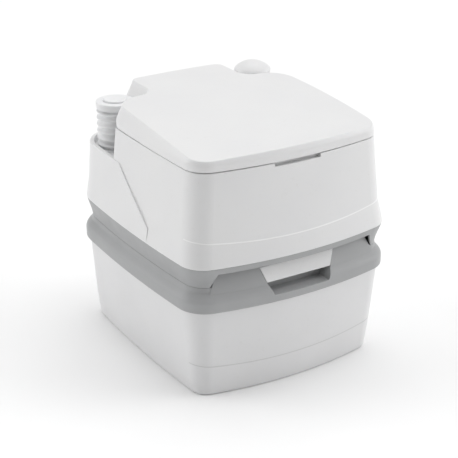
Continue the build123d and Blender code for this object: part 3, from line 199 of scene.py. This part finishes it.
def soft_rubber(name, colour, shade):
    """Matt rubber with a faint bloom and fine pores."""
    material, tree, shader = new_material(name)
    place = tree.add("ShaderNodeTexCoord").outputs["Object"]
    bloom = noise(tree, place, BLOOM_SCALE, 4.0)
    tree.feed(shader, "Base Color", ramp(tree, bloom, 0.4, 0.66, colour, shade).outputs["Color"])
    tree.feed(shader, "Roughness", spread(tree, bloom, 0.62, 0.78))
    pores = noise(tree, place, PORE_SCALE)
    relief = tree.add("ShaderNodeBump", {"Strength": 0.25, "Distance": 0.0001, "Height": pores})
    tree.feed(shader, "Normal", relief)
    return material


def drawn_steel(name):
    """Stainless steel with fine turning marks."""
    material, tree, shader = new_material(name)
    place = tree.add("ShaderNodeTexCoord").outputs["Object"]
    stretched = tree.add("ShaderNodeMapping", {"Vector": place, "Scale": (60.0, 900.0, 900.0)})
    marks = noise(tree, stretched, 3.0, 3.0)
    tree.feed(shader, "Base Color",
              ramp(tree, marks, 0.35, 0.65, (0.50, 0.51, 0.53), (0.68, 0.69, 0.70)).outputs["Color"])
    tree.feed(shader, "Roughness", spread(tree, marks, 0.22, 0.38))
    relief = tree.add("ShaderNodeBump", {"Strength": 0.15, "Distance": 0.00005, "Height": marks})
    tree.feed(shader, "Normal", relief)
    shader.inputs["Metallic"].default_value = 1.0
    return material


def milky_tube(name):
    """Translucent polythene tube."""
    material, tree, shader = new_material(name)
    place = tree.add("ShaderNodeTexCoord").outputs["Object"]
    haze = noise(tree, place, HAZE_SCALE, 3.0)
    tree.feed(shader, "Base Color",
              ramp(tree, haze, 0.4, 0.65, (0.62, 0.66, 0.67), (0.74, 0.77, 0.77)).outputs["Color"])
    tree.feed(shader, "Roughness", spread(tree, haze, 0.25, 0.4))
    shader.inputs["Transmission Weight"].default_value = 0.35
    return material


WHITE_SHELL = moulded_plastic("white_tank_plastic", (0.80, 0.80, 0.80), (0.78, 0.78, 0.785), 0.34, 900.0, 0.12,
                              edge_radius=0.9 * MM, subsurface=0.04)
# the flush tank's crease line is a painted highlight, tone 0.97 over the 0.80 white
FLUSH_SHELL = moulded_plastic("flush_tank_plastic", (0.80, 0.80, 0.80), (0.78, 0.78, 0.785), 0.34, 900.0, 0.12,
                              edge_radius=0.9 * MM, subsurface=0.04, crease_and_painted_line=(254.0 * MM, 10.0 * MM, 0.97))
# the waste tub's crease line is painted shade, tone 0.60 under the step
WASTE_SHELL = moulded_plastic("waste_tub_plastic", (0.78, 0.78, 0.785), (0.755, 0.755, 0.76), 0.36, 850.0, 0.12,
                              edge_radius=0.9 * MM, subsurface=0.04, crease_and_painted_line=(47.5 * MM, 8.0 * MM, 0.60))
WHITE_INNER = moulded_plastic("white_bowl_plastic", (0.80, 0.80, 0.80), (0.78, 0.78, 0.785), 0.18, 500.0, 0.04,
                              coat=0.25)
GREY_SHELL = moulded_plastic("grey_band_plastic", (0.40, 0.405, 0.41), (0.375, 0.38, 0.385), 0.42, 1500.0, 0.35,
                             specular=0.45)
GREY_INNER = moulded_plastic("dark_grey_plastic", (0.12, 0.125, 0.13), (0.09, 0.095, 0.10), 0.45, 1500.0, 0.3)
SPOUT = moulded_plastic("spout_plastic", (0.22, 0.235, 0.25), (0.19, 0.20, 0.215), 0.4, 1200.0, 0.25)
PUMP_SKIN = moulded_plastic("pump_plastic", (0.84, 0.845, 0.85), (0.80, 0.805, 0.815), 0.40, 1100.0, 0.15,
                            subsurface=0.05)
BELLOWS = moulded_plastic("bellows_plastic", (0.82, 0.825, 0.83), (0.78, 0.785, 0.795), 0.44, 900.0, 0.15,
                          subsurface=0.08)
RUBBER = soft_rubber("seal_rubber", (0.018, 0.018, 0.02), (0.035, 0.035, 0.037))
BUMPER = soft_rubber("bumper_rubber", (0.30, 0.305, 0.31), (0.36, 0.365, 0.37))
TUBE = milky_tube("clear_tube")
STEEL = drawn_steel("drawn_steel")

FINISH = {
    "white_shell": WHITE_SHELL,
    "white_inner": WHITE_INNER,
    "grey_shell": GREY_SHELL,
    "grey_inner": GREY_INNER,
    "spout_plastic": SPOUT,
    "pump_plastic": PUMP_SKIN,
    "bellows": BELLOWS,
    "seal_rubber": RUBBER,
    "bumper_rubber": BUMPER,
    "clear_tube": TUBE,
    "steel": STEEL,
}

SHELL_FINISH = {"flush_tank": FLUSH_SHELL, "waste_tub": WASTE_SHELL}


def finish_cad_nodes():
    """Every CAD node gets the finish of its material slot in the record; the two tanks have their own."""
    for entry in frame["record"]["subparts"]:
        node = NODES[entry["node"]]
        finish = SHELL_FINISH.get(entry["node"], FINISH[entry["material_slot"]])
        for material_slot in node.material_slots:
            material_slot.material = finish
        if not node.material_slots:
            node.data.materials.append(finish)


finish_cad_nodes()


# ---------------------------------------------------------------- places and sizes shared with the solids
PUMP = Vector((-132.0, 142.0)) * MM
FILLER = Vector((132.0, 142.0)) * MM
VENT = Vector((-140.0, 120.0)) * MM
BELLOWS_LOW = 311.0 * MM
BELLOWS_HIGH = 377.0 * MM

# the rest of this block is in mm
COLLAR_LOW = 377.0
COLLAR_TOP = 388.0
COLLAR_RADIUS = 31.5
BUTTON_BORE = 19.3
BUTTON_RADIUS = 19.0
FILL_CAP_TOP = 414.0
FILL_CAP_LOW = 378.0
FILL_CAP_DOME_RADIUS = 42.4
FILL_CAP_BORE = 27.2
FILL_CAP_CEILING = 399.0
GRIP_HEIGHT = 19.6
GRIP_RADIUS = 31.2
THREAD_LOW = 383.0
THREAD_HEIGHT = 10.0
THREAD_RADIUS = 26.0
SPRING_LOW = 193.3
SPRING_HEIGHT = 2.9
SCREW_HEAD_RADIUS = 4.0
SCREW_HEAD_HEIGHT = 2.4
SCREW_SHANK_RADIUS = 2.0
HOUSING_SCREWS = [(x, y) for x in (-58.0, 58.0) for y in (-80.0, -30.0, 20.0)]
SKIRT_SCREWS = [(x, y) for x in (-169.5, 169.5) for y in (-95.0, 95.0)]
BRACKET_SCREWS = [(-52.0, 123.5), (52.0, 123.5)]


# ---------------------------------------------------------------- pieces grown with Geometry Nodes


def new_geometry(name, numbers, material):
    """A tree with named number inputs. Returns the tree, its input node and a function that ends it."""
    group = bpy.data.node_groups.new(name, "GeometryNodeTree")
    for label, value in numbers.items():
        kind = "NodeSocketInt" if isinstance(value, int) else "NodeSocketFloat"
        group.interface.new_socket(label, in_out="INPUT", socket_type=kind).default_value = value
    group.interface.new_socket("Geometry", in_out="OUTPUT", socket_type="NodeSocketGeometry")
    tree = Tree(group)
    given = tree.add("NodeGroupInput")

    def end(geometry):
        real = tree.add("GeometryNodeRealizeInstances", {"Geometry": geometry})
        smooth = tree.add("GeometryNodeSetShadeSmooth", {"Geometry": real})
        finish = tree.add("GeometryNodeSetMaterial", {"Geometry": smooth, "Material": material})
        tree.feed(tree.add("NodeGroupOutput"), "Geometry", finish)
        return group

    return tree, given.outputs, end


def grow(name, group, body, slot, place=(0.0, 0.0, 0.0), turn=None, numbers=None):
    """Runs a tree, keeps its result as a plain mesh in the shared frame, and puts it on its body."""
    piece = bpy.data.objects.new(name, bpy.data.meshes.new(name))
    bpy.context.collection.objects.link(piece)
    modifier = piece.modifiers.new("grow", "NODES")
    modifier.node_group = group
    for item in group.interface.items_tree:
        if item.in_out == "INPUT" and item.name in (numbers or {}):
            modifier[item.identifier] = numbers[item.name]
    bpy.context.view_layer.update()
    mesh = bpy.data.meshes.new_from_object(piece.evaluated_get(bpy.context.evaluated_depsgraph_get()))
    piece.modifiers.clear()
    piece.data = mesh
    return settle(piece, body, slot, place, turn)


def settle(piece, body, slot, place=(0.0, 0.0, 0.0), turn=None):
    """Moves the mesh itself into place, turns its faces outwards and lets the piece ride on its body."""
    mesh = piece.data
    mesh.transform(Matrix.Translation(place) @ (turn or Matrix.Identity(4)))
    work = bmesh.new()
    work.from_mesh(mesh)
    bmesh.ops.remove_doubles(work, verts=work.verts, dist=1e-6)
    bmesh.ops.recalc_face_normals(work, faces=work.faces)
    work.to_mesh(mesh)
    work.free()
    if not mesh.materials:
        mesh.materials.append(FINISH[slot])
    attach(piece, body)
    return piece


def wrapped_grid(tree, around, along):
    """A grid to be wrapped round an axis, with its two shares from 0 to 1: around and along."""
    grid = tree.add("GeometryNodeMeshGrid", {"Size X": 1.0, "Size Y": 1.0,
                                             "Vertices X": around, "Vertices Y": along})
    place = tree.add("ShaderNodeSeparateXYZ", {"Vector": tree.add("GeometryNodeInputPosition")})
    return grid, tree.math("ADD", place.outputs["X"], 0.5), tree.math("ADD", place.outputs["Y"], 0.5)


def out_and_back(tree, along):
    """The level up the outside and down the inside of a wall, and 1 where it is inside."""
    join = 0.0001
    doubled = tree.math("MULTIPLY", along, 2.0)
    level = tree.math("PINGPONG", doubled, 1.0)
    is_inside = tree.math("MULTIPLY", tree.math("GREATER_THAN", doubled, 1.0 + join),
                          tree.math("LESS_THAN", doubled, 2.0 - join))
    return level, is_inside


def wrap(tree, grid, around_share, radius, height):
    """Moves each point of the grid to its angle, radius and height round the Z axis."""
    angle = tree.math("MULTIPLY", around_share, tau)
    spot = tree.add("ShaderNodeCombineXYZ", {"X": tree.math("MULTIPLY", tree.math("COSINE", angle), radius),
                                             "Y": tree.math("MULTIPLY", tree.math("SINE", angle), radius),
                                             "Z": height})
    return tree.add("GeometryNodeSetPosition", {"Geometry": grid, "Position": spot})


def bellows_tree():
    """A thin wall that swings out to each crest and in to each valley."""
    tree, given, end = new_geometry("bellows_wall", {
        "Ribs": 6, "Crest Radius": 31.0 * MM, "Valley Depth": 3.2 * MM, "Wall": 1.6 * MM,
        "Low": BELLOWS_LOW, "High": BELLOWS_HIGH, "Crest Sharpness": 1.9}, BELLOWS)
    grid, around, along = wrapped_grid(tree, 129, 241)
    level, is_inside = out_and_back(tree, along)
    height = tree.add("ShaderNodeMapRange", {"Value": level, "To Min": given["Low"], "To Max": given["High"]})
    phase = tree.math("MULTIPLY", tree.math("MULTIPLY", level, given["Ribs"]), tau)
    swing = tree.math("MULTIPLY_ADD", tree.math("COSINE", phase), 0.5, 0.5)
    sharpened = tree.math("POWER", tree.math("SUBTRACT", 1.0, swing), given["Crest Sharpness"])
    valley = tree.math("SUBTRACT", 1.0, sharpened)
    depth = tree.math("MULTIPLY", valley, given["Valley Depth"])
    outside = tree.math("SUBTRACT", given["Crest Radius"], depth)
    radius = tree.math("SUBTRACT", outside, tree.math("MULTIPLY", is_inside, given["Wall"]))
    return end(wrap(tree, grid, around, radius, height))


def fluted_cap_tree():
    """The grip band of a cap: a wall with wide rounded flutes that fade out at the top."""
    tree, given, end = new_geometry("fluted_band", {
        "Flutes": 10, "Radius": GRIP_RADIUS * MM, "Flute Depth": 2.0 * MM, "Bore": FILL_CAP_BORE * MM,
        "Low": 0.0, "High": GRIP_HEIGHT * MM, "Softness": 1.2 * MM, "Flute Width": 1.6,
        "Fade Steepness": 4.0}, WHITE_SHELL)
    grid, around, along = wrapped_grid(tree, 361, 33)
    level, is_inside = out_and_back(tree, along)
    outside = tree.math("SUBTRACT", 1.0, is_inside)
    height = tree.add("ShaderNodeMapRange", {"Value": level, "To Min": given["Low"], "To Max": given["High"]})
    wave = tree.math("MULTIPLY", tree.math("MULTIPLY", around, given["Flutes"]), tau)
    swing = tree.math("MULTIPLY_ADD", tree.math("COSINE", wave), 0.5, 0.5)
    dip = tree.math("POWER", swing, given["Flute Width"])
    below_top = tree.math("MULTIPLY", tree.math("SUBTRACT", 1.0, level), given["Fade Steepness"])
    end_fade = tree.math("MINIMUM", below_top, 1.0)
    depth = tree.math("MULTIPLY", tree.math("MULTIPLY", dip, end_fade), given["Flute Depth"])
    fluted = tree.math("SUBTRACT", given["Radius"], depth)
    rim_drop = tree.math("MULTIPLY", tree.math("LESS_THAN", level, 0.001), given["Softness"])
    wall = tree.math("SUBTRACT", fluted, rim_drop)
    span = tree.math("SUBTRACT", wall, given["Bore"])
    radius = tree.math("ADD", given["Bore"], tree.math("MULTIPLY", span, outside))
    return end(wrap(tree, grid, around, radius, height))


def coil_tree(material):
    """A wire wound into an open coil."""
    tree, given, end = new_geometry("coil", {"Turns": 3.0, "Coil Radius": 9.0 * MM, "Wire Radius": 0.5 * MM,
                                             "Length": 3.4 * MM}, material)
    line = tree.add("GeometryNodeCurveSpiral", {"Resolution": 48, "Rotations": given["Turns"],
                                                "Start Radius": given["Coil Radius"],
                                                "End Radius": given["Coil Radius"], "Height": given["Length"]})
    ring = tree.add("GeometryNodeCurvePrimitiveCircle", {"Resolution": 12, "Radius": given["Wire Radius"]})
    return end(tree.add("GeometryNodeCurveToMesh", {"Curve": line, "Profile Curve": ring, "Fill Caps": True}))


def screw_mesh(name, head_radius, head_height, shank_radius, shank_length):
    """A pan-head screw with a recess; the flat of the head is at height 0 and the shank points down."""
    recess = [(0.0, head_height * 0.55), (head_radius * 0.25, head_height * 0.55),
              (head_radius * 0.3, head_height)]
    head = [(head_radius * 0.72, head_height * 0.93), (head_radius * 0.93, head_height * 0.6),
            (head_radius, 0.0)]
    shank = [(shank_radius, 0.0), (shank_radius, -shank_length + shank_radius), (0.0, -shank_length)]
    return revolved(name, recess + head + shank, 32)


def screws_tree(places, height, template, points_up):
    """The same screw at each place, all at one height."""
    tree, given, end = new_geometry("screws", {"Count": len(places)}, STEEL)
    dots = tree.add("GeometryNodeMeshLine", {"Count": given["Count"]})
    index = tree.add("GeometryNodeInputIndex")
    x, y = 0.0, 0.0
    for number, place in enumerate(places):
        here = tree.add("FunctionNodeCompare", {2: index.outputs[0], 3: number},
                        data_type="INT", operation="EQUAL")
        x = tree.math("MULTIPLY_ADD", here.outputs[0], place[0], x)
        y = tree.math("MULTIPLY_ADD", here.outputs[0], place[1], y)
    spot = tree.add("ShaderNodeCombineXYZ", {"X": x, "Y": y, "Z": height})
    spots = tree.add("GeometryNodeSetPosition", {"Geometry": dots, "Position": spot})
    source = tree.add("GeometryNodeObjectInfo", {"Object": template})
    turn = (pi if points_up else 0.0, 0.0, 0.0)
    copies = tree.add("GeometryNodeInstanceOnPoints", {"Points": spots, "Instance": source.outputs["Geometry"],
                                                       "Rotation": turn})
    return end(copies)


# ---------------------------------------------------------------- turned pieces
def revolved(name, profile, steps=96):
    """A solid turned about Z from a closed or axis-to-axis profile of (radius, height)."""
    mesh = bpy.data.meshes.new(name)
    work = bmesh.new()
    rings = []
    for radius, height in profile:
        count = steps if radius > 0 else 1
        rings.append([work.verts.new((radius * cos(tau * i / steps), radius * sin(tau * i / steps), height))
                      for i in range(count)])
    closed = profile[0][0] > 0 and profile[-1][0] > 0
    pairs = list(zip(rings, rings[1:])) + ([(rings[-1], rings[0])] if closed else [])
    for low, high in pairs:
        for i in range(steps):
            j = (i + 1) % steps
            corners = [low[i % len(low)], low[j % len(low)], high[j % len(high)], high[i % len(high)]]
            work.faces.new(list(dict.fromkeys(corners)))
    work.to_mesh(mesh)
    work.free()
    mesh.shade_smooth()
    piece = bpy.data.objects.new(name, mesh)
    bpy.context.collection.objects.link(piece)
    return piece


def arc(centre_radius, centre_height, radius, start, end, steps=8):
    """Points on a profile along a circle, with angles in degrees from the outward direction."""
    angles = [radians(start + (end - start) * i / steps) for i in range(steps + 1)]
    return [(centre_radius + radius * cos(a), centre_height + radius * sin(a)) for a in angles]


def scaled(profile):
    """A profile in mm, in metres and with no radius below 0."""
    return [(max(0.0, radius) * MM, height * MM) for radius, height in profile]


def pump_top():
    """The collar with its rolled edge, and the button with a dished face."""
    foot = [(BUTTON_BORE, COLLAR_LOW), (COLLAR_RADIUS - 0.5, COLLAR_LOW)]
    foot_round = arc(COLLAR_RADIUS - 0.6, COLLAR_LOW + 0.6, 0.6, -90.0, 0.0, 4)
    top_round = arc(COLLAR_RADIUS - 1.8, COLLAR_TOP - 1.8, 1.8, 0.0, 80.0, 8)
    face = [(26.0, COLLAR_TOP), (21.5, COLLAR_TOP)]
    bore_round = arc(BUTTON_BORE + 1.0, COLLAR_TOP - 1.0, 0.9, 90.0, 180.0, 5)
    bore = [(BUTTON_BORE, COLLAR_TOP - 2.0)]
    outline = scaled(foot + foot_round + top_round + face + bore_round + bore)
    collar = settle(revolved("pump_collar_ring", outline), "pump_button", "pump_plastic",
                    (PUMP.x, PUMP.y, 0.0))
    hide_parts("pump_collar")
    dish = [(0.0, 389.9), (9.0, 390.0), (15.0, 390.6), (16.8, 390.95)]
    side = arc(BUTTON_RADIUS - 1.9, 389.1, 1.9, 88.0, 0.0, 8) + [(BUTTON_RADIUS, COLLAR_LOW + 1.0)]
    under = [(BUTTON_RADIUS - 1.0, COLLAR_LOW), (0.0, COLLAR_LOW)]
    button = settle(revolved("pump_push_button", scaled(dish + side + under)), "pump_button", "pump_plastic",
                    (PUMP.x, PUMP.y, 0.0))
    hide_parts("pump_button")


def filler_cap():
    """A dome on a fluted grip band."""
    centre = FILL_CAP_TOP - FILL_CAP_DOME_RADIUS
    radii = [FILL_CAP_DOME_RADIUS * sin(radians(angle)) for angle in range(0, 46, 3)]
    skin = [(radius, centre + (FILL_CAP_DOME_RADIUS ** 2 - radius ** 2) ** 0.5) for radius in radii]
    edge = arc(29.9, 398.8, 1.6, 50.0, -60.0, 8)
    rim = [(30.2, 397.2), (29.4, 396.9), (FILL_CAP_BORE, 397.0)]
    under = rim + [(FILL_CAP_BORE, FILL_CAP_CEILING), (0.0, FILL_CAP_CEILING)]
    dome = settle(revolved("filler_cap_dome", scaled(skin + edge + under)), "fill_cap", "white_shell",
                  (FILLER.x, FILLER.y, 0.0))
    grow("filler_cap_grip", fluted_cap_tree(), "fill_cap", "white_shell",
         (FILLER.x, FILLER.y, FILL_CAP_LOW * MM))
    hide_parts("fill_cap")


def filler_thread():
    """The screw thread on the neck, just below its rim."""
    grow("filler_neck_thread", coil_tree(WHITE_INNER), "flush_unit", "white_inner",
         (FILLER.x, FILLER.y, THREAD_LOW * MM),
         numbers={"Turns": 2.5, "Coil Radius": THREAD_RADIUS * MM, "Wire Radius": 0.7 * MM,
                  "Length": THREAD_HEIGHT * MM})


def vent_coil():
    """The spring under the vent button."""
    coil = grow("vent_coil_spring", coil_tree(STEEL), "waste_tank", "steel", (VENT.x, VENT.y, SPRING_LOW * MM),
                numbers={"Turns": 3.5, "Length": SPRING_HEIGHT * MM})
    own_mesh(coil)
    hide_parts("vent_spring")


def pump_bellows():
    """The bellows wall under the pump button."""
    wall = grow("pump_bellows_wall", bellows_tree(), "flush_unit", "bellows", (PUMP.x, PUMP.y, 0.0))
    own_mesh(wall)
    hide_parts("pump_bellows")


def screw_set(name, node, body, places, head_z, length, points_up):
    """One set of equal screws, with their heads at the height head_z."""
    template = screw_mesh(name + "_one", SCREW_HEAD_RADIUS * MM, SCREW_HEAD_HEIGHT * MM,
                          SCREW_SHANK_RADIUS * MM, length * MM)
    spots = [(x * MM, y * MM) for x, y in places]
    screws = grow(name, screws_tree(spots, head_z * MM, template, points_up), body, "steel")
    bpy.data.objects.remove(template)
    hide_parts(node)


def all_screws():
    screw_set("housing_cross_screws", "valve_housing_screws", "waste_tank", HOUSING_SCREWS,
              head_z=179.8, length=8.8, points_up=True)
    screw_set("skirt_cross_screws", "skirt_screws", "flush_unit", SKIRT_SCREWS,
              head_z=219.4, length=10.0, points_up=True)
    screw_set("bracket_cross_screws", "bracket_screws", "flush_unit", BRACKET_SCREWS,
              head_z=371.7, length=8.0, points_up=False)


pump_bellows()
pump_top()
filler_cap()
filler_thread()
vent_coil()
all_screws()


# ---------------------------------------------------------------- room, light and camera
FLOOR_SIZE = 30.0
FLOOR_DROP = 0.2 * MM                   # below the object, so that the two faces do not flicker
DIM_SIDE = (-0.62, -0.77, -0.10)        # the side of the tent that is left open
TENT_STRENGTH = 0.48
SUNS = {                                # where the light comes from, its strength, its spread in degrees
    "above": ((0.15, 0.1, 1.0), 1.45, 60.0),
    "right": ((0.90, -0.45, 0.42), 1.0, 40.0),
    "left_rear": ((-0.75, 0.62, 0.42), 0.9, 40.0),
}
CAMERA_PLACE = (-1.0541, -1.7130, 1.0707)
CAMERA_DOWN = 23.835                    # degrees below level
CAMERA_TURN = 31.556                    # degrees to the left of the front
CAMERA_LENS = 104.77
CAMERA_SENSOR = 36.0


def stage_floor():
    bpy.ops.mesh.primitive_plane_add(size=FLOOR_SIZE, location=(0, 0, -FLOOR_DROP))
    floor = bpy.context.object
    floor.name = "studio_floor"
    material, tree, shader = new_material("studio_floor")
    place = tree.add("ShaderNodeTexCoord").outputs["Object"]
    cloud = noise(tree, place, 3.0, 2.0)
    pale = ramp(tree, cloud, 0.3, 0.7, (0.93, 0.93, 0.93), (0.95, 0.95, 0.95))
    tree.feed(shader, "Base Color", pale.outputs["Color"])
    shader.inputs["Roughness"].default_value = 0.7
    floor.data.materials.append(material)


def far_light(name, place, strength, spread_degrees):
    """An even light from far away, as soft as a large diffuser."""
    light = bpy.data.lights.new(name, "SUN")
    light.energy = strength
    light.angle = radians(spread_degrees)
    lamp = bpy.data.objects.new(name, light)
    lamp.rotation_euler = Vector(place).to_track_quat("Z", "Y").to_euler()
    bpy.context.collection.objects.link(lamp)


def studio_light():
    """A bright tent: soft light from above, from the right and from the left rear."""
    scene = bpy.context.scene
    scene.view_settings.view_transform = "Standard"
    scene.world = scene.world or bpy.data.worlds.new("studio")
    scene.world.use_nodes = True
    background = scene.world.node_tree.nodes["Background"]
    tree = Tree(scene.world.node_tree)
    way = tree.add("ShaderNodeTexCoord").outputs["Generated"]
    toward_dim_side = tree.add("ShaderNodeVectorMath", {0: way, 1: DIM_SIDE}, operation="DOT_PRODUCT")
    tent = ramp(tree, toward_dim_side.outputs["Value"], 0.25, 0.85, (1.0, 1.0, 1.0), (0.30, 0.30, 0.30))
    tree.feed(background, "Color", tent)
    background.inputs["Strength"].default_value = TENT_STRENGTH
    for name, (place, strength, spread_degrees) in SUNS.items():
        far_light(name, place, strength, spread_degrees)


def front_left_camera():
    """The camera stands to the left and above, with a long lens."""
    data = bpy.data.cameras.new("camera")
    data.lens = CAMERA_LENS
    data.sensor_width = CAMERA_SENSOR
    camera = bpy.data.objects.new("camera", data)
    camera.location = CAMERA_PLACE
    camera.rotation_euler = (radians(90.0 - CAMERA_DOWN), 0.0, radians(-CAMERA_TURN))
    bpy.context.collection.objects.link(camera)
    bpy.context.scene.camera = camera


stage_floor()
studio_light()
front_left_camera()
